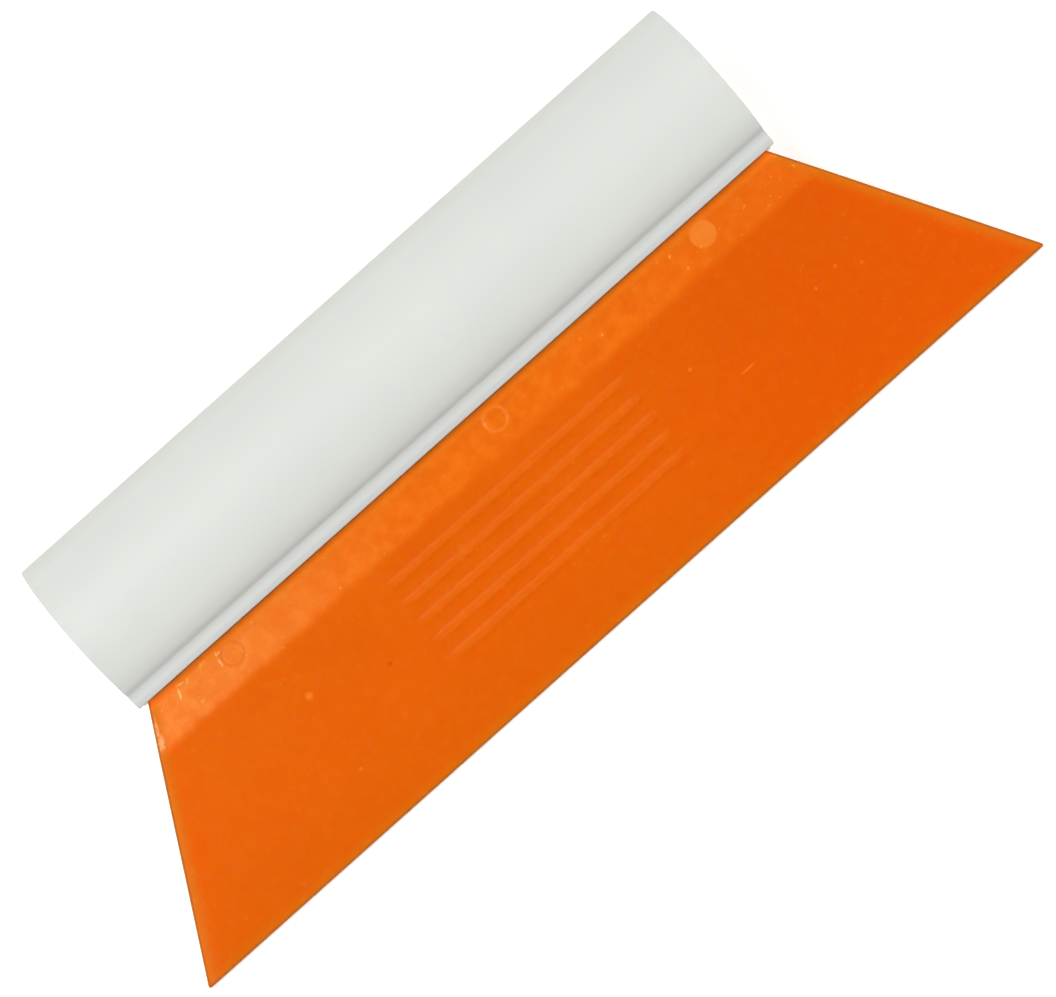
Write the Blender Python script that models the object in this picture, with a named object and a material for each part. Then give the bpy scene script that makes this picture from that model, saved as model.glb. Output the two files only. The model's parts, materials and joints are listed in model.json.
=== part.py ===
"""A window-film squeegee: a hollow extruded tube handle whose two lips grip a flared, tapering blade.

The tool is drawn in its own axes: X along the handle, Y from the blade's edge towards the handle's back,
Z through the thickness. The blade's middle plane is Z = 0, and the lips end at Y = 0. An empty then leans
the whole tool to the way it lies on a table, on the handle's belly and the blade's edge, with the origin
on the table under the middle of the tool.
"""

import math

import bmesh
import bpy

# Handle, in metres
HANDLE_LENGTH = 0.1400
HANDLE_DEPTH = 0.0301  # from the lips' ends to the back
HANDLE_THICKNESS = 0.0232  # at the crowns, its thickest place
BACK_RADIUS = 0.0072
CROWN_RADIUS = 0.0170  # of the broad upper and lower faces
WALL = 0.0021
LIP_RADIUS = 0.0015  # of the rolled bead along each lip
LIPS_THICKNESS = 0.0133  # over the crests of both beads
LIP_GRIP = 0.0039  # how deep the lips' flat inner faces are

# Blade, in metres
BLADE_THICKNESS = 0.0061  # of the root band
BLADE_REACH = 0.0423  # from the lips' ends to the blade's edge
ROOT_LENGTH = 0.1369  # where the flared ends cross the lips' ends
FLARE = math.radians(30)  # of each end, away from square
BAND_REACH = 0.0082  # from the lips' ends to the start of the taper
EDGE_THICKNESS = 0.0010
ROOT_CORNER_RADIUS = 0.0015
TIP_CORNER_RADIUS = 0.00035
ROOT_CORNER_DEPTH = 0.0005  # how far the flared part reaches in between the lips
BEAD_RADIUS = 0.0044  # of the round bead that holds the root in the tube
BEAD_DEPTH = 0.0076  # from the lips' ends to the bead's middle

FIT_GAP = 0.0003  # between the blade and each lip

ARC_STEP = math.radians(5)
SMOOTH_BELOW = math.radians(28)

PLASTIC_WHITE = (0.78, 0.80, 0.76)
BLADE_ORANGE = (0.80, 0.14, 0.008)

# Worked out from the sizes above
SLOT = BLADE_THICKNESS + 2 * FIT_GAP
CROWN_DROP = CROWN_RADIUS - HANDLE_THICKNESS / 2  # how far each crown's centre lies past the middle plane
BACK_CENTRE_Y = HANDLE_DEPTH - BACK_RADIUS
CROWN_CENTRE_Y = BACK_CENTRE_Y - math.sqrt((CROWN_RADIUS - BACK_RADIUS) ** 2 - CROWN_DROP**2)


def arc(centre, radius, start, end):
    """Points along an arc from one angle to another, both ends included."""
    steps = max(2, math.ceil(abs(end - start) / ARC_STEP))
    angles = [start + (end - start) * i / steps for i in range(steps + 1)]
    return [(centre[0] + radius * math.cos(a), centre[1] + radius * math.sin(a)) for a in angles]


def angle_from(centre, point):
    return math.atan2(point[1] - centre[1], point[0] - centre[0])


def upper_crossing(centre_a, radius_a, centre_b, radius_b):
    """The higher of the two points where two circles cross."""
    apart = math.dist(centre_a, centre_b)
    along = (apart**2 + radius_a**2 - radius_b**2) / (2 * apart)
    across = math.sqrt(radius_a**2 - along**2)
    unit_y = (centre_b[0] - centre_a[0]) / apart
    unit_z = (centre_b[1] - centre_a[1]) / apart
    foot = (centre_a[0] + along * unit_y, centre_a[1] + along * unit_z)
    both = [(foot[0] + side * across * unit_z, foot[1] - side * across * unit_y) for side in (-1, 1)]
    return max(both, key=lambda point: point[1])


def outer_half():
    """The handle's upper outside in Y and Z: round the back, over the crown, and round the lip's bead."""
    back = (BACK_CENTRE_Y, 0.0)
    crown = (CROWN_CENTRE_Y, -CROWN_DROP)
    lip = (LIP_RADIUS, LIPS_THICKNESS / 2 - LIP_RADIUS)
    blend = angle_from(crown, back)
    groove = upper_crossing(crown, CROWN_RADIUS, lip, LIP_RADIUS)
    points = arc(back, BACK_RADIUS, 0.0, blend)
    points += arc(crown, CROWN_RADIUS, blend, angle_from(crown, groove))[1:]
    points += arc(lip, LIP_RADIUS, angle_from(lip, groove), math.pi)[1:]
    return points


def inner_half():
    """The upper side of the slot and the hollow, from the lip's end to the middle of the back wall."""
    back = (BACK_CENTRE_Y, 0.0)
    crown = (CROWN_CENTRE_Y, -CROWN_DROP)
    radius = CROWN_RADIUS - WALL
    shoulder_z = crown[1] + math.sqrt(radius**2 - (LIP_GRIP - crown[0]) ** 2)
    blend = angle_from(crown, back)
    points = [(0.0, SLOT / 2), (LIP_GRIP, SLOT / 2)]
    points += arc(crown, radius, angle_from(crown, (LIP_GRIP, shoulder_z)), blend)
    points += arc(back, BACK_RADIUS - WALL, blend, 0.0)[1:]
    return points


def mirrored(points):
    return [(y, -z) for y, z in reversed(points)]


def handle_section():
    """The whole handle's cross-section, one closed loop that passes in and out through the slot."""
    outer = outer_half()
    inner = inner_half()
    return outer + inner + mirrored(inner)[1:] + mirrored(outer)[:-1]


def band_half_thickness(y):
    """Half the blade's thickness between its root and its edge."""
    taper = min(max((-y - BAND_REACH) / (BLADE_REACH - BAND_REACH), 0.0), 1.0)
    return (BLADE_THICKNESS + (EDGE_THICKNESS - BLADE_THICKNESS) * taper) / 2


def blade_stations():
    """(y, half length, half thickness) down the blade, from the back of the bead to the edge."""
    slope = math.cos(FLARE)
    half_root = ROOT_LENGTH / 2
    root_y = ROOT_CORNER_DEPTH - ROOT_CORNER_RADIUS
    root_x = half_root - (ROOT_CORNER_RADIUS + root_y * math.sin(FLARE)) / slope
    tip_y = TIP_CORNER_RADIUS - BLADE_REACH
    tip_x = half_root - (TIP_CORNER_RADIUS + tip_y * math.sin(FLARE)) / slope
    neck = math.pi - math.asin(BLADE_THICKNESS / 2 / BEAD_RADIUS)
    bead = arc((BEAD_DEPTH, 0.0), BEAD_RADIUS, math.radians(15), neck)
    stations = [(y, root_x, z) for y, z in bead]
    corner = arc((root_x, root_y), ROOT_CORNER_RADIUS, math.radians(90), FLARE)
    stations += [(y, x, BLADE_THICKNESS / 2) for x, y in corner]
    crease_x = half_root + BAND_REACH * math.tan(FLARE)
    stations.append((-BAND_REACH, crease_x, BLADE_THICKNESS / 2))
    tip = arc((tip_x, tip_y), TIP_CORNER_RADIUS, FLARE, math.radians(-90))
    stations += [(y, x, band_half_thickness(y)) for x, y in tip]
    return stations


def rest_lean():
    """The lean at which the belly and the edge's lower corner touch one level plane."""
    run = CROWN_CENTRE_Y + BLADE_REACH
    rise = CROWN_DROP + EDGE_THICKNESS / 2
    return math.asin(CROWN_RADIUS / math.hypot(run, rise)) - math.atan2(rise, run)


def add_rest_empty(lean):
    """The empty that everything hangs on, placed so that the tool stands on Z = 0 about the origin."""
    profile = handle_section()
    profile += [(y, side * z) for y, _, z in blade_stations() for side in (-1, 1)]
    across = [y * math.cos(lean) - z * math.sin(lean) for y, z in profile]
    height = [y * math.sin(lean) + z * math.cos(lean) for y, z in profile]
    empty = bpy.data.objects.new("tool_rest", None)
    empty.location = (0.0, -(min(across) + max(across)) / 2, -min(height))
    empty.rotation_euler = (lean, 0.0, 0.0)
    bpy.context.collection.objects.link(empty)
    return empty


def add_material(obj, colour, roughness, metallic=0.0):
    material = bpy.data.materials.new(obj.name)
    material.use_nodes = True
    shader = material.node_tree.nodes["Principled BSDF"]
    shader.inputs["Base Color"].default_value = (*colour, 1.0)
    shader.inputs["Roughness"].default_value = roughness
    shader.inputs["Metallic"].default_value = metallic
    obj.data.materials.append(material)


def add_piece(name, bm, parent):
    """Turns a finished bmesh into a named object under the parent."""
    bmesh.ops.recalc_face_normals(bm, faces=bm.faces)
    mesh = bpy.data.meshes.new(name)
    bm.to_mesh(mesh)
    bm.free()
    mesh.shade_smooth()
    mesh.set_sharp_from_angle(angle=SMOOTH_BELOW)
    obj = bpy.data.objects.new(name, mesh)
    obj.parent = parent
    bpy.context.collection.objects.link(obj)
    return obj


def add_handle_tube(parent):
    """The extrusion: its section drawn at one end and pulled along X to the other."""
    bm = bmesh.new()
    left = -HANDLE_LENGTH / 2
    ring = [bm.verts.new((left, y, z)) for y, z in handle_section()]
    pulled = bmesh.ops.extrude_face_region(bm, geom=[bm.faces.new(ring)])
    moved = [item for item in pulled["geom"] if isinstance(item, bmesh.types.BMVert)]
    bmesh.ops.translate(bm, verts=moved, vec=(HANDLE_LENGTH, 0.0, 0.0))
    handle = add_piece("handle_tube", bm, parent)
    add_material(handle, PLASTIC_WHITE, 0.42)
    return handle


def add_blade(parent):
    """The moulding: a rectangle at each station, joined to the next one and closed at both ends."""
    bm = bmesh.new()
    rings = []
    for y, half_length, half_thickness in blade_stations():
        corners = ((-1, -1), (1, -1), (1, 1), (-1, 1))
        rings.append([bm.verts.new((sx * half_length, y, sz * half_thickness)) for sx, sz in corners])
    for ring, following in zip(rings, rings[1:]):
        for i in range(4):
            j = (i + 1) % 4
            bm.faces.new((ring[i], ring[j], following[j], following[i]))
    bm.faces.new(rings[0])
    bm.faces.new(rings[-1])
    blade = add_piece("blade", bm, parent)
    add_material(blade, BLADE_ORANGE, 0.38)
    return blade


def main():
    for obj in list(bpy.data.objects):
        bpy.data.objects.remove(obj, do_unlink=True)
    rest = add_rest_empty(rest_lean())
    add_handle_tube(rest)
    add_blade(rest)


main()
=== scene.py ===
import json
import math

import bmesh
import bpy
from mathutils import Matrix, Vector


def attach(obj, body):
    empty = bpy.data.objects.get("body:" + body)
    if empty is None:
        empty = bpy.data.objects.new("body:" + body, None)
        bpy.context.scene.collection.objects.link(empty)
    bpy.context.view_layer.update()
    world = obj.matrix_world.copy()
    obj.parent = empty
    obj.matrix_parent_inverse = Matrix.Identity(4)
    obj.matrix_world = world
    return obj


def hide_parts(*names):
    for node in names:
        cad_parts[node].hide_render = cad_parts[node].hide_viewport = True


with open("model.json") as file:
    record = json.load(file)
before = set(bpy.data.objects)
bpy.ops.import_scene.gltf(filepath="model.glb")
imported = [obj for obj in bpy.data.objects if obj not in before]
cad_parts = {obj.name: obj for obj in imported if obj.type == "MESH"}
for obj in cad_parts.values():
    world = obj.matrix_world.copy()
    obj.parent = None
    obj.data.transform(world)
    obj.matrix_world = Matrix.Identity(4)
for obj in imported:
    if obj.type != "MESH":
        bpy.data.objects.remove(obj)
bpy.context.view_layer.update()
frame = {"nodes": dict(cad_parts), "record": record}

# ---------------------------------------------------------------- the frame's sizes

MOUNTS = {mount["name"]: mount for mount in frame["record"]["mounts"]}
BAND_NORMAL = Vector(MOUNTS["root_band_upper"]["axis"])
LEAN = math.atan2(-BAND_NORMAL.y, BAND_NORMAL.z)
TURN = Matrix.Rotation(LEAN, 4, "X")


def leaning_box(node):
    """(lowest, highest) corner of a CAD node along the leaning tool's axes."""
    points = [TURN.inverted() @ vertex.co for vertex in frame["nodes"][node].data.vertices]
    lowest = Vector([min(point[axis] for point in points) for axis in range(3)])
    highest = Vector([max(point[axis] for point in points) for axis in range(3)])
    return lowest, highest


HANDLE_LOW, HANDLE_HIGH = leaning_box("handle_tube")
BLADE_LOW = leaning_box("blade")[0]

# X along the handle, Y from the blade's edge to the handle's back, Z through the thickness, starting
# in the blade's middle plane where the handle's lips end.
TOOL_ORIGIN = TURN @ Vector((0.0, HANDLE_LOW.y, (HANDLE_LOW.z + HANDLE_HIGH.z) / 2))
TOOL = Matrix.Translation(TOOL_ORIGIN) @ TURN

MM = 0.001
HANDLE_LENGTH = HANDLE_HIGH.x - HANDLE_LOW.x
CURVE_CLEARANCE = 0.01 * MM  # keeps the handle's fine curve inside the CAD's coarser one
HANDLE_DEPTH = HANDLE_HIGH.y - HANDLE_LOW.y - CURVE_CLEARANCE
HANDLE_THICKNESS = HANDLE_HIGH.z - HANDLE_LOW.z
BLADE_REACH = HANDLE_LOW.y - BLADE_LOW.y

# ---------------------------------------------------------------- shapes the frame's boxes don't give

BACK_RADIUS = 7.2 * MM
CROWN_RADIUS = 17.0 * MM
WALL = 2.1 * MM
FLANK_END_Y = 3.25 * MM  # where the crown stops and drops into the groove behind the lip
GROOVE = (2.70 * MM, 6.33 * MM)
GROOVE_RADIUS = 0.7 * MM
LIP_SHOULDER = (0.95 * MM, 5.84 * MM)
LIP_SHOULDER_RADIUS = 1.2 * MM
LIP_NOSE = (0.0, 5.25 * MM)
LIP_NOSE_RADIUS = 0.6 * MM
LIP_FOOT_RADIUS = 0.25 * MM
LIP_GRIP = 3.9 * MM  # how far back the slot's two faces run
SLOT = 6.7 * MM
CUT_ROUND = 0.2 * MM  # the broken edge of the saw-cut ends

BLADE_THICKNESS = 6.1 * MM
EDGE_THICKNESS = 1.0 * MM
ROOT_LENGTH = 136.9 * MM
FLARE = math.radians(30)
BAND_REACH = 8.2 * MM
CREASE_SOFTNESS = 1.0 * MM
ROOT_CORNER_RADIUS = 1.5 * MM
ROOT_CORNER_DEPTH = 0.5 * MM  # how far behind the lips a flared end's corner begins
TIP_CORNER_RADIUS = 0.35 * MM
BEAD_RADIUS = 4.4 * MM
BEAD_DEPTH = 7.6 * MM
SIDE_ROUND = 0.15 * MM
EDGE_ROUND = 0.15 * MM
PARTING_RIDGE = 0.06 * MM  # how far the parting line stands out of the flared ends

BEAD_START = math.radians(15)  # the bead's back is flat up to this angle
BEAD_NECK = math.pi - math.asin(BLADE_THICKNESS / 2 / BEAD_RADIUS)

STRAIGHT_REACH = 66.0 * MM  # further out than this the blade's columns fan out along its flared ends
FAN_COLUMNS = 6

PIN_MARKS = [(-52.5 * MM, "line"), (5.6 * MM, "ring"), (51.4 * MM, "disc")]  # (x, kind)
PIN_MARK_Y = -3.4 * MM
PIN_MARK_RADIUS = 2.3 * MM
PIN_MARK_HEIGHT = 0.08 * MM
PIN_MARK_REACH = 1.3 * PIN_MARK_RADIUS  # the fine part of the mesh round each mark
PIN_MARK_OUTSIDE = (0.88, 1.06)  # where a mark's edge falls away, in shares of its radius
PIN_MARK_INSIDE = (0.70, 0.86)  # where a ring or a line rises
PIN_MARK_RELIEF = {"disc": 1.0, "ring": 1.0, "line": -0.5}
# painted sheen on the raised disc and ring, painted shade in the sunk line
PIN_MARK_LIGHTNESS = {"disc": 0.6, "ring": 0.4, "line": -0.25}

RIB_COUNT = 5
RIB_HALF_LENGTH = 27.0 * MM
RIB_HALF_WIDTH = 0.95 * MM
RIB_HEIGHT = 0.17 * MM
RIB_SLOPE = 0.60 * MM
RIB_FADE = 3.5 * MM  # the length over which each end of a rib sinks into the taper
# painted sheen on the ribs' tops
RIB_LIGHTNESS = 0.12
RIBS_TOP_Y = -12.4 * MM
RIBS_PITCH = 3.9 * MM

# Scuffs as (x, y, length, width, turn). Grit has left yellow ones on the band, and rubbing the first two
# pale ones; the last two pale ones are a painted highlight along the left flared end.
YELLOW_SCUFFS = [
    (-62.5 * MM, -1.3 * MM, 1.9 * MM, 0.6 * MM, math.radians(-12)),
    (-63.6 * MM, -2.6 * MM, 2.6 * MM, 0.5 * MM, math.radians(66)),
    (-61.2 * MM, -1.7 * MM, 1.3 * MM, 0.5 * MM, math.radians(43)),
    (-57.5 * MM, -1.2 * MM, 2.0 * MM, 0.6 * MM, math.radians(11)),
    (-54.7 * MM, -1.5 * MM, 1.3 * MM, 0.4 * MM, math.radians(61)),
]
PALE_SCUFFS_AND_HIGHLIGHT = [
    (-54.2 * MM, -1.7 * MM, 1.3 * MM, 0.4 * MM, math.radians(18)),
    (-55.1 * MM, -3.1 * MM, 2.0 * MM, 0.5 * MM, math.radians(82)),
    # painted highlight: a streak along the left flared end's rounded edge
    (-70.6 * MM, -4.8 * MM, 6.4 * MM, 1.0 * MM, math.radians(60)),
    (-71.3 * MM, -6.6 * MM, 3.8 * MM, 1.7 * MM, math.radians(58)),
]
FAINT_SCUFFS = [
    (42.3 * MM, -24.9 * MM, 4.6 * MM, 0.5 * MM, 0.0),
    (34.9 * MM, -18.6 * MM, 1.0 * MM, 0.8 * MM, 0.0),
    (59.4 * MM, -22.5 * MM, 0.8 * MM, 0.8 * MM, 0.0),
    (64.3 * MM, -21.8 * MM, 0.9 * MM, 0.9 * MM, 0.0),
    (68.0 * MM, -24.3 * MM, 0.9 * MM, 0.6 * MM, 0.0),
    (-47.9 * MM, -17.0 * MM, 1.8 * MM, 1.8 * MM, 0.0),
    (-49.6 * MM, -31.7 * MM, 1.2 * MM, 0.9 * MM, 0.0),
]
BURNT_SPECKS = [(-34.4 * MM, -21.9 * MM, 1.3 * MM, 0.9 * MM, 0.0)]

THINNING = (BLADE_THICKNESS - EDGE_THICKNESS) / 2 / (BLADE_REACH - BAND_REACH)  # per metre of taper

# The mesh: how far apart its rows, columns and the points of its arcs are.
MARK_PITCH = 0.16 * MM
CREASE_PITCH = 0.3 * MM
CREASE_REACH = 1.5 * CREASE_SOFTNESS
TAPER_PITCH = 1.0 * MM
COLUMN_PITCH = 2.0 * MM
UNDERSIDE_PITCH = 6.0 * MM
ARC_STEP = math.radians(2)
CROWN_STEP = math.radians(1.2)
HIDDEN_STEP = math.radians(4)
CORNER_STEP = math.radians(6)
ROUNDING_STEP = math.radians(22.5)
CORNER_POINTS = 5
MITRE_LIMIT = 0.5  # the sharpest corner that an inset follows, as the cosine of half its turn
HANDLE_SHARP_ANGLE = math.radians(26)
BLADE_SHARP_ANGLE = math.radians(30)

CROWN_DROP = CROWN_RADIUS - HANDLE_THICKNESS / 2
BACK_CENTRE_Y = HANDLE_DEPTH - BACK_RADIUS
CROWN_CENTRE_Y = BACK_CENTRE_Y - math.sqrt((CROWN_RADIUS - BACK_RADIUS) ** 2 - CROWN_DROP**2)

# ---------------------------------------------------------------- drawing helpers


def spaced(start, end, pitch):
    """Values from start to end, evenly spaced at about the pitch, both ends included."""
    count = max(1, round(abs(end - start) / pitch))
    return [start + (end - start) * i / count for i in range(count + 1)]


def arc(centre, radius, start, end, step=ARC_STEP):
    return [
        (centre[0] + radius * math.cos(angle), centre[1] + radius * math.sin(angle))
        for angle in spaced(start, end, step)
    ]


def angle_from(centre, point):
    return math.atan2(point[1] - centre[1], point[0] - centre[0])


def smooth_step(low, high, value):
    t = min(max((value - low) / (high - low), 0.0), 1.0)
    return t * t * (3 - 2 * t)


def rounded_corner(before, corner, after, radius):
    """The corner between two straight runs replaced by an arc of this radius."""
    corner = Vector(corner)
    inward = (Vector(before) - corner).normalized()
    outward = (Vector(after) - corner).normalized()
    half_angle = inward.angle(outward) / 2
    centre = corner + (inward + outward).normalized() * (radius / math.sin(half_angle))
    start = corner + inward * (radius / math.tan(half_angle)) - centre
    end = corner + outward * (radius / math.tan(half_angle)) - centre
    turn = math.atan2(start.x * end.y - start.y * end.x, start.dot(end))
    points = []
    for i in range(CORNER_POINTS + 1):
        angle = math.atan2(start.y, start.x) + turn * i / CORNER_POINTS
        points.append((centre.x + radius * math.cos(angle), centre.y + radius * math.sin(angle)))
    return points


def loft(name, rings, sharp_angle):
    """A closed mesh in the frame, through rings of equally many points in the tool's own axes."""
    bm = bmesh.new()
    vertices = [[bm.verts.new(TOOL @ Vector(point)) for point in ring] for ring in rings]
    for ring, following in zip(vertices, vertices[1:]):
        for i in range(len(ring)):
            j = (i + 1) % len(ring)
            bm.faces.new((ring[i], ring[j], following[j], following[i]))
    bm.faces.new(vertices[0])
    bm.faces.new(vertices[-1])
    bmesh.ops.recalc_face_normals(bm, faces=bm.faces)
    mesh = bpy.data.meshes.new(name)
    bm.to_mesh(mesh)
    bm.free()
    mesh.shade_smooth()
    mesh.set_sharp_from_angle(angle=sharp_angle)
    piece = bpy.data.objects.new(name, mesh)
    bpy.context.scene.collection.objects.link(piece)
    return piece


# ---------------------------------------------------------------- the handle


def handle_outer_half():
    """The upper outside in Y and Z: round the back, over the crown, down the lip's face and front."""
    back = (BACK_CENTRE_Y, 0.0)
    crown = (CROWN_CENTRE_Y, -CROWN_DROP)
    blend = angle_from(crown, back)
    flank_rise = math.sqrt(CROWN_RADIUS**2 - (CROWN_CENTRE_Y - FLANK_END_Y) ** 2)
    flank_end = (FLANK_END_Y, crown[1] + flank_rise)
    foot = (0.0, SLOT / 2)
    points = arc(back, BACK_RADIUS, 0.0, blend)
    points += arc(crown, CROWN_RADIUS, blend, angle_from(crown, flank_end), CROWN_STEP)[1:]
    points += rounded_corner(flank_end, GROOVE, LIP_SHOULDER, GROOVE_RADIUS)
    points += rounded_corner(GROOVE, LIP_SHOULDER, LIP_NOSE, LIP_SHOULDER_RADIUS)
    points += rounded_corner(LIP_SHOULDER, LIP_NOSE, foot, LIP_NOSE_RADIUS)
    points += rounded_corner(LIP_NOSE, foot, (LIP_GRIP, SLOT / 2), LIP_FOOT_RADIUS)
    return points


def handle_inner_half():
    """The upper side of the slot and the hollow, from the lip's end to the middle of the back wall."""
    crown = (CROWN_CENTRE_Y, -CROWN_DROP)
    back = (BACK_CENTRE_Y, 0.0)
    radius = CROWN_RADIUS - WALL
    shoulder_z = crown[1] + math.sqrt(radius**2 - (LIP_GRIP - crown[0]) ** 2)
    blend = angle_from(crown, back)
    points = [(LIP_GRIP, SLOT / 2)]
    points += arc(crown, radius, angle_from(crown, (LIP_GRIP, shoulder_z)), blend)
    points += arc(back, BACK_RADIUS - WALL, blend, 0.0, HIDDEN_STEP)[1:]
    return points


def shrunk(loop, inset):
    """The closed loop moved into the material by the inset, each corner along its own bisector."""
    result = []
    for i, here in enumerate(loop):
        before = Vector(loop[i - 1])
        after = Vector(loop[(i + 1) % len(loop)])
        into = (Vector(here) - before).normalized()
        out = (after - Vector(here)).normalized()
        normal = Vector((-(into.y + out.y), into.x + out.x)).normalized()
        reach = inset / max(MITRE_LIMIT, normal.dot(Vector((-into.y, into.x))))
        result.append(tuple(Vector(here) + normal * reach))
    return result


def make_handle():
    """The extrusion, with both cut ends slightly rounded."""
    outer = handle_outer_half()
    inner = handle_inner_half()
    lower_inner = [(y, -z) for y, z in reversed(inner)][1:]
    lower_outer = [(y, -z) for y, z in reversed(outer)][:-1]
    section = outer + inner + lower_inner + lower_outer
    half = HANDLE_LENGTH / 2
    right_end = []
    for turn in spaced(0.0, math.pi / 2, ROUNDING_STEP):
        inset = CUT_ROUND * (1 - math.cos(turn))
        x = half - CUT_ROUND * (1 - math.sin(turn))
        right_end.append([(x, y, z) for y, z in shrunk(section, inset)])
    left_end = [[(-x, y, z) for x, y, z in ring] for ring in reversed(right_end)]
    return loft("handle_extrusion", left_end + right_end, HANDLE_SHARP_ANGLE)


# ---------------------------------------------------------------- the blade


def band_half_thickness(y):
    """Half the thickness from the lips to the edge: a flat band, a soft crease, and a straight taper."""
    past = -y - BAND_REACH
    if past < -CREASE_SOFTNESS:
        run = 0.0
    elif past < CREASE_SOFTNESS:
        run = (past + CREASE_SOFTNESS) ** 2 / (4 * CREASE_SOFTNESS)
    else:
        run = past
    return BLADE_THICKNESS / 2 - run * THINNING


def rounding_drop(distance, radius):
    """How far a rounded edge lies below the face at this distance inside it."""
    inside = min(max(distance, 0.0), radius)
    return radius - math.sqrt(radius**2 - (radius - inside) ** 2)


def blade_rows():
    """(y, half length, half thickness) for each ring, from the bead's back to the blade's edge."""
    root_y = ROOT_CORNER_DEPTH - ROOT_CORNER_RADIUS
    root_x = ROOT_LENGTH / 2 - (ROOT_CORNER_RADIUS + root_y * math.sin(FLARE)) / math.cos(FLARE)
    tip_y = TIP_CORNER_RADIUS - BLADE_REACH
    tip_x = ROOT_LENGTH / 2 - (TIP_CORNER_RADIUS + tip_y * math.sin(FLARE)) / math.cos(FLARE)
    bead = arc((BEAD_DEPTH, 0.0), BEAD_RADIUS, BEAD_START, BEAD_NECK, CORNER_STEP)
    rows = [(y, root_x, z) for y, z in bead]
    corner = arc((root_x, root_y), ROOT_CORNER_RADIUS, math.pi / 2, FLARE, CORNER_STEP)
    rows += [(y, x, BLADE_THICKNESS / 2) for x, y in corner]
    marks = spaced(corner[-1][1], PIN_MARK_Y - PIN_MARK_REACH, MARK_PITCH)
    crease = spaced(marks[-1], -BAND_REACH - CREASE_REACH, CREASE_PITCH)
    ribs = [crease[-1]]
    for i in range(RIB_COUNT):
        middle = RIBS_TOP_Y - i * RIBS_PITCH
        inner = RIB_HALF_WIDTH - RIB_SLOPE
        ribs += spaced(ribs[-1], middle + RIB_HALF_WIDTH, TAPER_PITCH)[1:]
        ribs += spaced(middle + RIB_HALF_WIDTH, middle + inner, RIB_SLOPE / 4)[1:]
        ribs += spaced(middle + inner, middle - inner, inner)[1:]
        ribs += spaced(middle - inner, middle - RIB_HALF_WIDTH, RIB_SLOPE / 4)[1:]
    taper = spaced(ribs[-1], tip_y + TIP_CORNER_RADIUS * math.sin(FLARE), TAPER_PITCH)
    for y in marks[1:] + crease[1:] + ribs[1:] + taper[1:]:
        rows.append((y, ROOT_LENGTH / 2 - y * math.tan(FLARE), band_half_thickness(y)))
    tip = arc((tip_x, tip_y), TIP_CORNER_RADIUS, FLARE, -math.pi / 2, CORNER_STEP)
    rows += [(y, x, band_half_thickness(y)) for x, y in tip[1:]]
    return rows


def straight_columns():
    """X positions for the upper face, close together where a mark or a rib's end has to be drawn."""
    fine = [(x - PIN_MARK_REACH, x + PIN_MARK_REACH) for x, _ in PIN_MARKS]
    full = RIB_HALF_LENGTH - RIB_FADE
    fine += [(-RIB_HALF_LENGTH, -full), (full, RIB_HALF_LENGTH)]
    columns = [-STRAIGHT_REACH]
    for low, high in sorted(fine):
        columns += spaced(columns[-1], low, COLUMN_PITCH)[1:]
        columns += spaced(low, high, MARK_PITCH)[1:]
    return columns + spaced(columns[-1], STRAIGHT_REACH, COLUMN_PITCH)[1:]


def mould_marks(x, y):
    """(height, lightness) here: the height of the mould's pin marks on the band and ribs on the taper, and
    a lightness that paints a sheen on the raised ones and shade in the sunk line.
    """
    height = 0.0
    lightness = 0.0
    for mark_x, kind in PIN_MARKS:
        distance = math.hypot(x - mark_x, y - PIN_MARK_Y) / PIN_MARK_RADIUS
        shape = 1 - smooth_step(*PIN_MARK_OUTSIDE, distance)
        if kind != "disc":
            shape *= smooth_step(*PIN_MARK_INSIDE, distance)
        height += PIN_MARK_HEIGHT * PIN_MARK_RELIEF[kind] * shape
        lightness += PIN_MARK_LIGHTNESS[kind] * shape
    fade = 1 - smooth_step(RIB_HALF_LENGTH - RIB_FADE, RIB_HALF_LENGTH, abs(x))
    for i in range(RIB_COUNT):
        distance = abs(y - RIBS_TOP_Y + i * RIBS_PITCH)
        top = fade * (1 - smooth_step(RIB_HALF_WIDTH - RIB_SLOPE, RIB_HALF_WIDTH, distance))
        height += RIB_HEIGHT * top
        lightness += RIB_LIGHTNESS * top
    return height, lightness


def blade_ring(y, half_length, half_thickness, upper_columns, lower_columns):
    """One closed loop round the blade at this y: over the top, down the right end, back underneath."""
    body = half_length - PARTING_RIDGE
    front = rounding_drop(y + BLADE_REACH, EDGE_ROUND)
    turns = spaced(0.0, math.pi / 2, ROUNDING_STEP)
    bends = [body - SIDE_ROUND * (1 - math.sin(turn)) for turn in turns]
    fan = spaced(upper_columns[-1], bends[0], (bends[0] - upper_columns[-1]) / FAN_COLUMNS)
    side = fan[1:-1] + bends

    def height(x):
        return half_thickness - max(front, rounding_drop(body - abs(x), SIDE_ROUND))

    upper = [-x for x in reversed(side)] + upper_columns + side
    lower = [-x for x in reversed(side)] + lower_columns + side
    over = [(x, y, height(x) + mould_marks(x, y)[0]) for x in upper]
    under = [(x, y, -height(x)) for x in reversed(lower)]
    return over + [(half_length, y, 0.0)] + under + [(-half_length, y, 0.0)]


def mark_lightness(piece):
    """Stores on each upper point how much painted sheen or shade its mould mark gets, for the material to
    read.
    """
    lightness = piece.data.attributes.new("lightness", "FLOAT", "POINT")
    into_tool = TOOL.inverted()
    for vertex in piece.data.vertices:
        point = into_tool @ vertex.co
        if point.z > 0:
            lightness.data[vertex.index].value = mould_marks(point.x, point.y)[1]


def make_blade():
    upper_columns = straight_columns()
    lower_columns = spaced(-STRAIGHT_REACH, STRAIGHT_REACH, UNDERSIDE_PITCH)
    rings = [blade_ring(*row, upper_columns, lower_columns) for row in blade_rows()]
    piece = loft("blade_moulding", rings, BLADE_SHARP_ANGLE)
    mark_lightness(piece)
    return piece


# ---------------------------------------------------------------- material values

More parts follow.
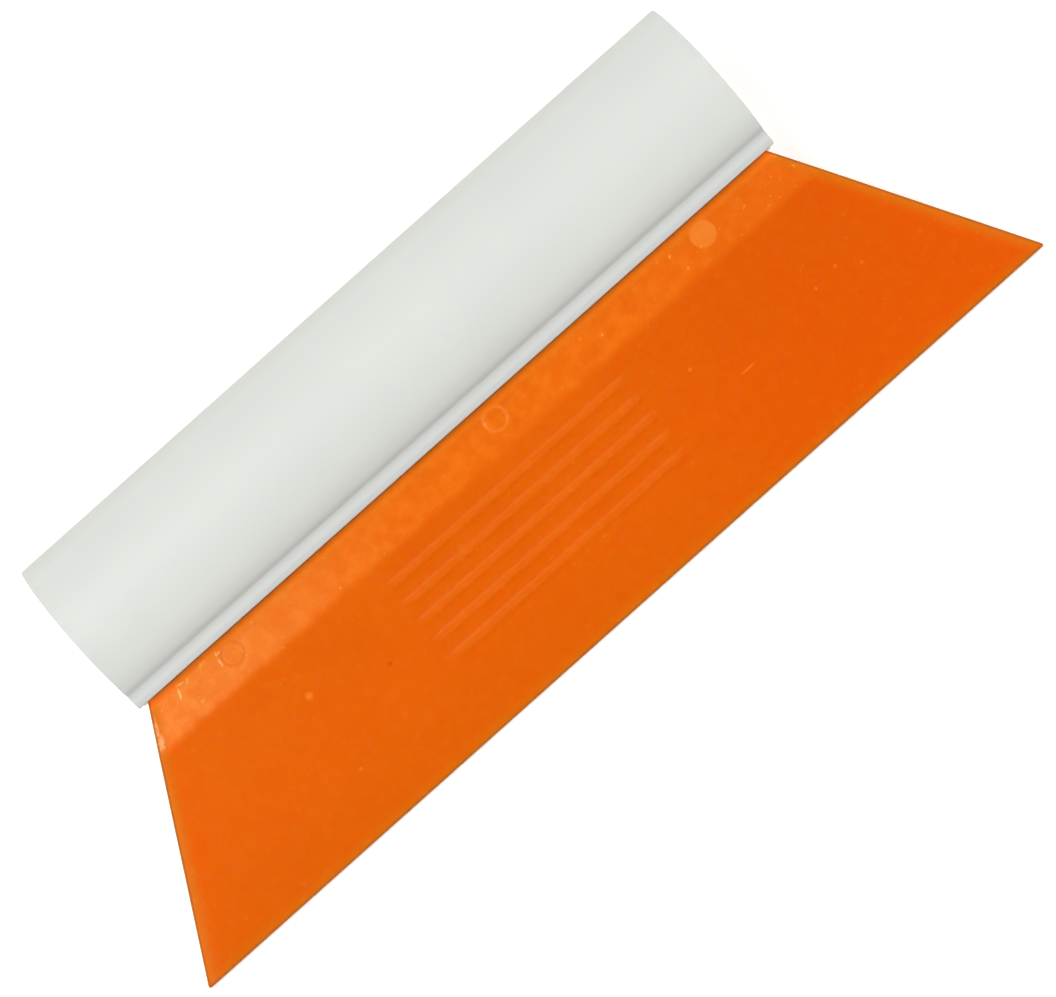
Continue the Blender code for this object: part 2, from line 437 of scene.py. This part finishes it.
# Colours in linear light: the handle's, the blade's, and the floor's two.
EXTRUSION_WHITE = (0.645, 0.665, 0.625, 1)
EXTRUSION_PALE = (0.685, 0.70, 0.66, 1)
END_DIRT = (0.50, 0.50, 0.46, 1)
# painted shade: the lip's face darker and cooler, for the crown's shade falling over it
LIP_SHADED_WHITE = (0.625, 0.645, 0.625, 1)
# painted shade: the front flank darker, as it faces away from the lights
FLANK_SHADE = (0.595, 0.63, 0.605, 1)
# painted shade in the concave groove behind the lip
GROOVE_SHADE = (0.55, 0.57, 0.535, 1)
# painted shade: the back darker and yellower where its steep side turns from the light
BACK_SHADE = (0.61, 0.625, 0.575, 1)
SAWN_WHITE = (0.60, 0.61, 0.58, 1)

TAPER_DARK = (0.715, 0.118, 0.0006, 1)
TAPER_LIGHT = (0.765, 0.148, 0.0012, 1)
TAPER_THIN = (0.645, 0.129, 0.0006, 1)
# painted shade: the taper darker to the right, away from the stronger left lights
TAPER_RIGHT_SHADE = (0.715, 0.108, 0.0004, 1)
BAND_DARK = (0.71, 0.102, 0.001, 1)
BAND_LIGHT = (0.88, 0.234, 0.005, 1)
# painted shade: the band darker to the right
BAND_RIGHT_SHADE = (0.74, 0.138, 0.0008, 1)
# painted sheen: the band's left paler, for a light's reflection
BAND_SHEEN = (0.86, 0.310, 0.055, 1)
# painted light in front of the lips, offsetting their shadow on the band
LIP_FOOT_LIGHT = (1.0, 0.235, 0.009, 1)
# painted shade: a browner strip inside the ends, holding back light glowing in through them
NEAR_THE_RIM_SHADE = (0.61, 0.185, 0.003, 1)
# painted sheen on the raised mould marks, painted shade in the sunk one
RAISED_MARK_SHEEN = (0.90, 0.36, 0.05, 1)
SUNK_MARK_SHADE = (0.55, 0.10, 0.002, 1)
SPECK = (0.98, 0.42, 0.06, 1)
FAINT_SCUFF = (0.95, 0.30, 0.03, 1)
BURNT_SPECK = (0.55, 0.055, 0.001, 1)
YELLOW_SCUFF = (1.0, 0.56, 0.14, 1)
# pale scuffs, and the painted highlight along the left flared end
PALE_SCUFF_AND_HIGHLIGHT = (1.0, 0.50, 0.22, 1)
LIP_SHADOW = (0.10, 0.045, 0.02, 1)
# painted shade: a brown line along the flared ends and edge, for their shaded side faces
RIM_SHADE = (0.22, 0.105, 0.008, 1)

FLOOR_TONES = [(0.93, 0.93, 0.93, 1), (0.95, 0.95, 0.95, 1)]

# Patterns of noise, in cells per metre, the same all round or along X, Y and Z.
HANDLE_CLOUD = 45.0
HANDLE_GRAIN = 2600.0
DIE_LINES = (5.0, 900.0, 900.0)
SAW_LINES = (0.0, 260.0, 4200.0)
HANDLE_SCUFFS = (90.0, 420.0, 420.0)
BLADE_CLOUD = 70.0
BLADE_BLOTCHES = 420.0
BLADE_RIPPLE = 120.0
BLADE_GRAIN = 1900.0
BLADE_SPECKS = 950.0
FLOOR_CLOUD = 3.0

# ---------------------------------------------------------------- shader helpers


def add_node(tree, kind, inputs=None, **settings):
    """A shader node with its settings and its inputs, each a plain value or another node's output."""
    node = tree.nodes.new(kind)
    for name, value in settings.items():
        setattr(node, name, value)
    for key, value in (inputs or {}).items():
        if isinstance(value, bpy.types.NodeSocket):
            tree.links.new(value, node.inputs[key])
        else:
            node.inputs[key].default_value = value
    return node


def tool_position(tree):
    """The point being shaded in the tool's own axes, in metres."""
    place = add_node(tree, "ShaderNodeTexCoord").outputs["Object"]
    inputs = {"Vector": place, "Location": TOOL_ORIGIN, "Rotation": (LEAN, 0.0, 0.0)}
    return add_node(tree, "ShaderNodeMapping", inputs, vector_type="TEXTURE").outputs["Vector"]


def stretched(tree, vector, factors):
    inputs = {0: vector, 1: factors}
    return add_node(tree, "ShaderNodeVectorMath", inputs, operation="MULTIPLY").outputs["Vector"]


def noise(tree, vector, scale, detail=2.0, roughness=0.5):
    inputs = {"Vector": vector, "Scale": scale, "Detail": detail, "Roughness": roughness}
    return add_node(tree, "ShaderNodeTexNoise", inputs).outputs["Fac"]


def ramp(tree, value, low, high, to_low=0.0, to_high=1.0):
    """The value carried smoothly from one range to another."""
    inputs = {"Value": value, "From Min": low, "From Max": high, "To Min": to_low, "To Max": to_high}
    return add_node(tree, "ShaderNodeMapRange", inputs, interpolation_type="SMOOTHSTEP").outputs["Result"]


def math_node(tree, operation, first, second=0.0):
    return add_node(tree, "ShaderNodeMath", {0: first, 1: second}, operation=operation).outputs["Value"]


def product(tree, first, second):
    return math_node(tree, "MULTIPLY", first, second)


def larger(tree, first, second):
    return math_node(tree, "MAXIMUM", first, second)


def mixed(tree, factor, first, second):
    node = add_node(tree, "ShaderNodeMix", data_type="RGBA", blend_type="MIX")
    for key, value in (("Factor_Float", factor), ("A_Color", first), ("B_Color", second)):
        socket = next(item for item in node.inputs if item.identifier == key)
        if isinstance(value, bpy.types.NodeSocket):
            tree.links.new(value, socket)
        else:
            socket.default_value = value
    return next(item for item in node.outputs if item.identifier == "Result_Color")


def bumped(tree, height, distance, strength, normal=None):
    inputs = {"Height": height, "Distance": distance, "Strength": strength}
    if normal is not None:
        inputs["Normal"] = normal
    return add_node(tree, "ShaderNodeBump", inputs).outputs["Normal"]


def new_material(name):
    material = bpy.data.materials.new(name)
    material.use_nodes = True
    return material, material.node_tree, material.node_tree.nodes["Principled BSDF"]


# ---------------------------------------------------------------- the handle's material


def handle_colour(tree, split, cloud, scuffs, cut):
    """Off-white, faintly clouded, with dirt at the worn ends, and painted shade on the lip's face, the
    front flank, in the groove and along the back.
    """
    from_middle = math_node(tree, "ABSOLUTE", split["X"])
    worn = ramp(tree, from_middle, HANDLE_LENGTH / 2 - 2.5 * MM, HANDLE_LENGTH / 2)
    dirt = product(tree, worn, ramp(tree, scuffs, 0.45, 0.75, 0.0, 0.25))
    lip_end = GROOVE[0] + 0.4 * MM
    # painted shade over the lip's face, in front of the groove
    lip = ramp(tree, split["Y"], GROOVE[0], lip_end, 1.0, 0.0)
    # painted shade on the front flank
    flank_shade = ramp(tree, split["Y"], lip_end, 7.0 * MM, 0.9, 0.0)
    flank_shade = product(tree, flank_shade, math_node(tree, "SUBTRACT", 1.0, lip))
    # painted shade in the groove
    groove = ramp(tree, split["Y"], GROOVE[0] - 1.2 * MM, GROOVE[0] - 0.2 * MM)
    groove = product(tree, groove, ramp(tree, split["Y"], lip_end, 4.0 * MM, 1.0, 0.0))
    # painted shade along the back
    back = ramp(tree, split["Y"], HANDLE_DEPTH - 3.2 * MM, HANDLE_DEPTH - 0.3 * MM, 0.0, 0.85)

    colour = mixed(tree, cloud, EXTRUSION_WHITE, EXTRUSION_PALE)
    colour = mixed(tree, dirt, colour, END_DIRT)
    colour = mixed(tree, lip, colour, LIP_SHADED_WHITE)
    colour = mixed(tree, flank_shade, colour, FLANK_SHADE)
    colour = mixed(tree, groove, colour, GROOVE_SHADE)
    colour = mixed(tree, back, colour, BACK_SHADE)
    return mixed(tree, product(tree, cut, 0.5), colour, SAWN_WHITE)


def handle_roughness(tree, cloud, scuffs, cut):
    """Satin, duller where it is scuffed and on the cut ends."""
    satin = ramp(tree, cloud, 0.3, 0.7, 0.42, 0.52)
    satin = math_node(tree, "ADD", satin, ramp(tree, scuffs, 0.5, 0.8, 0.0, 0.12))
    return larger(tree, satin, product(tree, cut, 0.7))


def handle_bumps(tree, place, cut):
    """Die lines along X and a fine grain, with saw lines on the cut ends."""
    lines = noise(tree, stretched(tree, place, DIE_LINES), 1.0, 3.0)
    saw = noise(tree, stretched(tree, place, SAW_LINES), 1.0)
    normal = bumped(tree, product(tree, lines, math_node(tree, "SUBTRACT", 1.0, cut)), 0.02 * MM, 0.5)
    normal = bumped(tree, noise(tree, place, HANDLE_GRAIN), 0.006 * MM, 0.4, normal)
    return bumped(tree, product(tree, saw, cut), 0.06 * MM, 0.6, normal)


def handle_plastic():
    """Satin off-white extruded plastic with saw-cut ends."""
    material, tree, shader = new_material("satin_white_extrusion")
    place = tool_position(tree)
    split = add_node(tree, "ShaderNodeSeparateXYZ", {"Vector": place}).outputs
    from_middle = math_node(tree, "ABSOLUTE", split["X"])
    cut = ramp(tree, from_middle, HANDLE_LENGTH / 2 - 0.25 * MM, HANDLE_LENGTH / 2 - 0.1 * MM)
    cloud = noise(tree, place, HANDLE_CLOUD, 3.0)
    scuffs = noise(tree, stretched(tree, place, HANDLE_SCUFFS), 1.0, 4.0, 0.65)
    tree.links.new(handle_colour(tree, split, cloud, scuffs, cut), shader.inputs["Base Color"])
    tree.links.new(handle_roughness(tree, cloud, scuffs, cut), shader.inputs["Roughness"])
    tree.links.new(handle_bumps(tree, place, cut), shader.inputs["Normal"])
    shader.inputs["Specular IOR Level"].default_value = 0.35
    return material


# ---------------------------------------------------------------- the blade's material


def scuff_mask(tree, place, scuffs):
    """How strongly a point is scuffed, from a few soft ellipses (x, y, length, width, turn)."""
    mask = None
    for x, y, length, width, turn in scuffs:
        inputs = {
            "Vector": place,
            "Location": (x, y, BLADE_THICKNESS / 2),
            "Rotation": (0.0, 0.0, turn),
            "Scale": (length / 2, width / 2, BLADE_THICKNESS),
        }
        local = add_node(tree, "ShaderNodeMapping", inputs, vector_type="TEXTURE").outputs["Vector"]
        distance = add_node(tree, "ShaderNodeVectorMath", {0: local}, operation="LENGTH").outputs["Value"]
        spot = ramp(tree, distance, 0.4, 1.0, 1.0, 0.0)
        mask = spot if mask is None else larger(tree, mask, spot)
    return mask


def rim_distances(tree, split):
    """How far a point of the blade lies inside its flared end, along X, and inside its working edge."""
    outward = math_node(tree, "MINIMUM", split["Y"], 0.0)
    end_x = math_node(tree, "SUBTRACT", ROOT_LENGTH / 2, product(tree, outward, math.tan(FLARE)))
    from_end = math_node(tree, "SUBTRACT", end_x, math_node(tree, "ABSOLUTE", split["X"]))
    return from_end, math_node(tree, "ADD", split["Y"], BLADE_REACH)


def below_face(tree, split):
    """How deep a point of the blade lies under its nearer broad face."""
    past = larger(tree, math_node(tree, "SUBTRACT", -BAND_REACH, split["Y"]), 0.0)
    half = math_node(tree, "SUBTRACT", BLADE_THICKNESS / 2, product(tree, past, THINNING))
    return math_node(tree, "SUBTRACT", half, math_node(tree, "ABSOLUTE", split["Z"]))


def rim_masks(tree, split):
    """(wide, narrow): the thin strip inside the flared ends and the working edge, and its outermost line,
    where painted shade goes.
    """
    from_end, from_edge = rim_distances(tree, split)
    # painted shade holding back the glow in through the ends
    wide = ramp(tree, from_end, 0.4 * MM, 3.2 * MM, 0.9, 0.0)
    wide = larger(tree, wide, ramp(tree, from_edge, 0.4 * MM, 2.4 * MM, 0.5, 0.0))
    narrow = ramp(tree, from_end, 0.25 * MM, 0.70 * MM, 1.0, 0.0)
    narrow = larger(tree, narrow, ramp(tree, from_edge, 0.20 * MM, 0.60 * MM, 0.9, 0.0))
    on_face = ramp(tree, below_face(tree, split), 0.2 * MM, 0.7 * MM, 1.0, 0.1)
    return wide, product(tree, narrow, on_face)


def urethane_colour(tree, place, split, band, blotches):
    """The plain orange: deep and clouded on the taper, lighter and mottled on the thick band, with painted
    shade towards the right and a painted sheen on the band's left.
    """
    cloud = noise(tree, place, BLADE_CLOUD, 4.0, 0.55)
    thinned = ramp(tree, split["Y"], -BLADE_REACH, -BLADE_REACH + 18.0 * MM, 0.8, 0.0)
    # painted shade towards the right
    right = ramp(tree, split["X"], 5.0 * MM, 60.0 * MM, 0.0, 0.8)
    taper = mixed(tree, cloud, TAPER_DARK, TAPER_LIGHT)
    taper = mixed(tree, thinned, taper, TAPER_THIN)
    taper = mixed(tree, right, taper, TAPER_RIGHT_SHADE)

    # painted shade towards the band's right end
    far_right_shade = ramp(tree, split["X"], 25.0 * MM, 72.0 * MM, 0.0, 0.6)
    # painted sheen on the band's left
    sheen = product(tree, band, ramp(tree, split["X"], -10.0 * MM, -68.0 * MM, 0.0, 0.45))
    sheen = product(tree, sheen, ramp(tree, blotches, 0.3, 0.7, 0.7, 1.3))
    thick = mixed(tree, blotches, BAND_DARK, BAND_LIGHT)
    thick = mixed(tree, far_right_shade, thick, BAND_RIGHT_SHADE)
    thick = mixed(tree, sheen, thick, BAND_SHEEN)
    return mixed(tree, band, taper, thick)


def marked(tree, place, band, colour):
    """The colour with a painted sheen on the mould's raised marks and ribs, painted shade in its sunk
    line, and specks, mostly on the band.
    """
    mark = add_node(tree, "ShaderNodeAttribute", attribute_name="lightness").outputs["Fac"]
    specks = ramp(tree, noise(tree, place, BLADE_SPECKS, 1.0), 0.71, 0.77)
    specks = product(tree, specks, ramp(tree, band, 0.0, 1.0, 0.12, 0.65))
    colour = mixed(tree, product(tree, mark, 0.6), colour, RAISED_MARK_SHEEN)
    colour = mixed(tree, product(tree, mark, -1.0), colour, SUNK_MARK_SHADE)
    return mixed(tree, specks, colour, SPECK)


def scuffed(tree, place, grain, colour):
    """(colour, dulled) with what grit and rubbing have left, and a painted highlight streak along the left
    flared end. The coarse scuffs and the streak dull the gloss too.
    """
    rough_edge = ramp(tree, grain, 0.35, 0.5)
    yellow = product(tree, scuff_mask(tree, place, YELLOW_SCUFFS), rough_edge)
    # the pale mask also paints the highlight streak along the left flared end
    pale = product(tree, scuff_mask(tree, place, PALE_SCUFFS_AND_HIGHLIGHT), rough_edge)
    faint = product(tree, scuff_mask(tree, place, FAINT_SCUFFS), 0.5)
    burnt = product(tree, scuff_mask(tree, place, BURNT_SPECKS), 0.6)
    colour = mixed(tree, faint, colour, FAINT_SCUFF)
    colour = mixed(tree, burnt, colour, BURNT_SPECK)
    colour = mixed(tree, yellow, colour, YELLOW_SCUFF)
    colour = mixed(tree, product(tree, pale, 0.7), colour, PALE_SCUFF_AND_HIGHLIGHT)
    return colour, larger(tree, yellow, pale)


def by_the_lips(tree, split, colour):
    """The colour lit with painted light in front of the lips, against their shadow there, and a painted
    shadow in the gap where the blade enters them.
    """
    # painted light offsetting the lips' shadow
    foot_light = ramp(tree, split["Y"], -2.2 * MM, -0.6 * MM, 0.0, 0.9)
    dark = ramp(tree, split["Y"], -0.16 * MM, -0.04 * MM, 0.0, 0.85)
    dark = product(tree, dark, ramp(tree, split["Y"], 0.2 * MM, 0.8 * MM, 1.0, 0.0))
    return mixed(tree, dark, mixed(tree, foot_light, colour, LIP_FOOT_LIGHT), LIP_SHADOW)


def blade_urethane():
    """Semi-gloss orange urethane that light enters, scuffed here and there, dull at its rims, with a
    painted brown shade line along them.
    """
    material, tree, shader = new_material("orange_moulded_urethane")
    place = tool_position(tree)
    split = add_node(tree, "ShaderNodeSeparateXYZ", {"Vector": place}).outputs
    band = ramp(tree, split["Y"], -BAND_REACH - CREASE_SOFTNESS, -BAND_REACH + CREASE_SOFTNESS)
    blotches = noise(tree, place, BLADE_BLOTCHES, 4.0, 0.65)
    grain = noise(tree, place, BLADE_GRAIN, 3.0)
    near_rim_shade, rim_shade = rim_masks(tree, split)

    colour = urethane_colour(tree, place, split, band, blotches)
    # painted shade inside the flared ends and the edge
    colour = mixed(tree, near_rim_shade, colour, NEAR_THE_RIM_SHADE)
    colour = marked(tree, place, band, colour)
    colour, scuffs = scuffed(tree, place, grain, colour)
    colour = by_the_lips(tree, split, colour)
    # painted shade along the rims
    colour = mixed(tree, product(tree, rim_shade, 0.85), colour, RIM_SHADE)
    tree.links.new(colour, shader.inputs["Base Color"])

    dulled = larger(tree, scuffs, rim_shade)
    gloss = ramp(tree, blotches, 0.3, 0.75, 0.24, 0.30)
    roughness = math_node(tree, "ADD", gloss, product(tree, dulled, 0.3))
    tree.links.new(roughness, shader.inputs["Roughness"])
    normal = bumped(tree, noise(tree, place, BLADE_RIPPLE), 0.20 * MM, 0.10)
    normal = bumped(tree, product(tree, blotches, band), 0.04 * MM, 0.15, normal)
    normal = bumped(tree, grain, 0.006 * MM, 0.30, normal)
    normal = bumped(tree, dulled, 0.03 * MM, 0.4, normal)
    tree.links.new(normal, shader.inputs["Normal"])

    shader.inputs["IOR"].default_value = 1.5
    shader.inputs["Specular IOR Level"].default_value = 0.15
    shader.inputs["Subsurface Weight"].default_value = 0.8
    shader.inputs["Subsurface Radius"].default_value = (1.0, 0.25, 0.05)
    shader.inputs["Subsurface Scale"].default_value = 5.0 * MM
    return material


# ---------------------------------------------------------------- stage, light and camera

FLOOR_SIDE = 8.0
FLOOR_GLOW = 0.335
WORLD_TINT = (0.98, 0.99, 1.0, 1)
WALL_LIGHT = 0.36
CEILING_LIGHT = 0.012
WALL_TOP = 0.2  # the walls' light fades into the ceiling's from this height to the next, as sines
CEILING_START = 0.75
LIGHT_DISTANCE = 1.3
LIGHT_SIDE = 0.9
LIGHTS = [  # (name, direction along the tool's axes, watts)
    ("key_left", (-0.45, 0.30, 0.80), 9.5),
    ("key_right", (0.45, 0.30, 0.80), 3.9),
    ("side_left", (-0.87, 0.0, 0.50), 7.0),
    ("side_right", (0.87, 0.0, 0.50), 9.8),
    ("back", (0.0, 0.87, 0.50), 0.5),
]
CAMERA_DISTANCE = 0.610
CAMERA_LENS = 125.4
CAMERA_SENSOR = 36.0
CAMERA_ROLL = math.radians(41.73)
CAMERA_AIM = (0.8 * MM, -16.7 * MM)


def floor_paint():
    """Matt white acrylic that glows a little, so that the tool's shadows stay soft and pale."""
    material, tree, shader = new_material("pale_floor")
    place = add_node(tree, "ShaderNodeTexCoord").outputs["Object"]
    tone = mixed(tree, noise(tree, place, FLOOR_CLOUD), *FLOOR_TONES)
    tree.links.new(tone, shader.inputs["Base Color"])
    shader.inputs["Roughness"].default_value = 0.9
    shader.inputs["Specular IOR Level"].default_value = 0.1
    shader.inputs["Emission Color"].default_value = (1.0, 1.0, 1.0, 1)
    shader.inputs["Emission Strength"].default_value = FLOOR_GLOW
    return material


def add_floor():
    bm = bmesh.new()
    bmesh.ops.create_grid(bm, x_segments=8, y_segments=8, size=FLOOR_SIDE / 2)
    mesh = bpy.data.meshes.new("floor")
    bm.to_mesh(mesh)
    bm.free()
    mesh.materials.append(floor_paint())
    floor = bpy.data.objects.new("floor", mesh)
    bpy.context.scene.collection.objects.link(floor)


def add_light(name, direction, energy):
    """A square softbox that faces the tool from a direction in the tool's own axes."""
    light = bpy.data.lights.new(name, "AREA")
    light.shape = "SQUARE"
    light.size = LIGHT_SIDE
    light.energy = energy
    lamp = bpy.data.objects.new(name, light)
    toward = (TURN @ Vector(direction)).normalized()
    lamp.location = toward * LIGHT_DISTANCE
    lamp.rotation_euler = toward.to_track_quat("Z", "Y").to_euler()
    bpy.context.scene.collection.objects.link(lamp)


def add_world():
    """Pale walls all round and a dim ceiling, so that glossy faces turned upward stay clear of haze."""
    world = bpy.data.worlds.new("studio")
    world.use_nodes = True
    tree = world.node_tree
    place = add_node(tree, "ShaderNodeTexCoord").outputs["Generated"]
    height = add_node(tree, "ShaderNodeSeparateXYZ", {"Vector": place}).outputs["Z"]
    background = tree.nodes["Background"]
    strength = ramp(tree, height, WALL_TOP, CEILING_START, WALL_LIGHT, CEILING_LIGHT)
    background.inputs["Color"].default_value = WORLD_TINT
    tree.links.new(strength, background.inputs["Strength"])
    bpy.context.scene.world = world


def add_camera():
    """Square to the blade's middle plane, turned so that the handle runs up to the right."""
    data = bpy.data.cameras.new("camera")
    data.lens = CAMERA_LENS
    data.sensor_width = CAMERA_SENSOR
    camera = bpy.data.objects.new("camera", data)
    place = Matrix.Translation((*CAMERA_AIM, CAMERA_DISTANCE))
    camera.matrix_world = TOOL @ place @ Matrix.Rotation(-CAMERA_ROLL, 4, "Z")
    bpy.context.scene.collection.objects.link(camera)
    bpy.context.scene.camera = camera


# ---------------------------------------------------------------- the scene

add_camera()
add_world()
add_floor()
for light_settings in LIGHTS:
    add_light(*light_settings)
bpy.context.scene.view_settings.view_transform = "Standard"

handle = make_handle()
handle.data.materials.append(handle_plastic())
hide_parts("handle_tube")
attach(handle, "handle")

blade = make_blade()
blade.data.materials.append(blade_urethane())
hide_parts("blade")
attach(blade, "blade")
